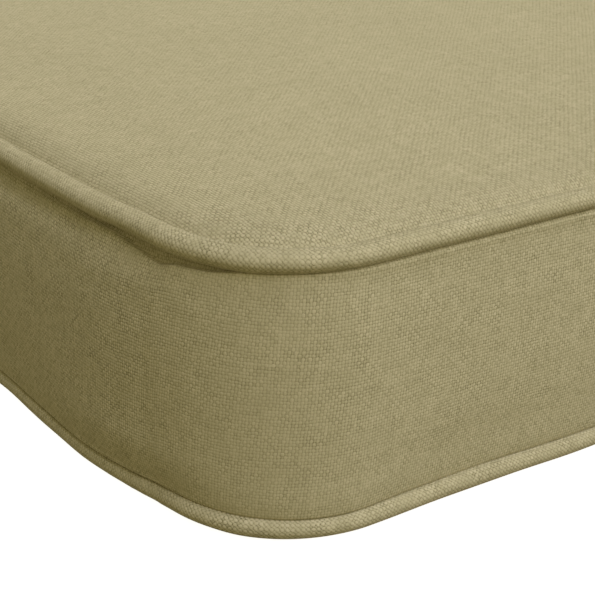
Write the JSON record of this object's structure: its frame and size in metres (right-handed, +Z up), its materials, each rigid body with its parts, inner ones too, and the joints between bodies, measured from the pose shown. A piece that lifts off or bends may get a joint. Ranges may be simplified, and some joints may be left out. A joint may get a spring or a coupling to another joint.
{
  "type": "bench cushion",
  "caption": "Long boxed seat cushion with rounded corners, a crowned top and covered piping round its upper and lower seams, made to lie on a bench.",
  "frame": {"origin": "middle of the underside, on the surface the cushion lies on", "axes": "+X along the long side, +Y from the front edge to the back edge, +Z up through the thickness"},
  "size_m": [1.2268, 0.4637, 0.093],
  "materials": {
    "panel_cloth": "matt plain-woven cloth, olive khaki",
    "boxing_cloth": "matt plain-woven cloth, olive khaki",
    "piping_low_cloth": "matt plain-woven cloth over a cord, olive khaki",
    "piping_high_cloth": "matt plain-woven cloth over a cord, olive khaki"
  },
  "bodies": {
    "root": {"cushion": "panel_cloth", "boxing": "boxing_cloth", "piping_low": "piping_low_cloth", "piping_high": "piping_high_cloth"}
  },
  "joints": []
}
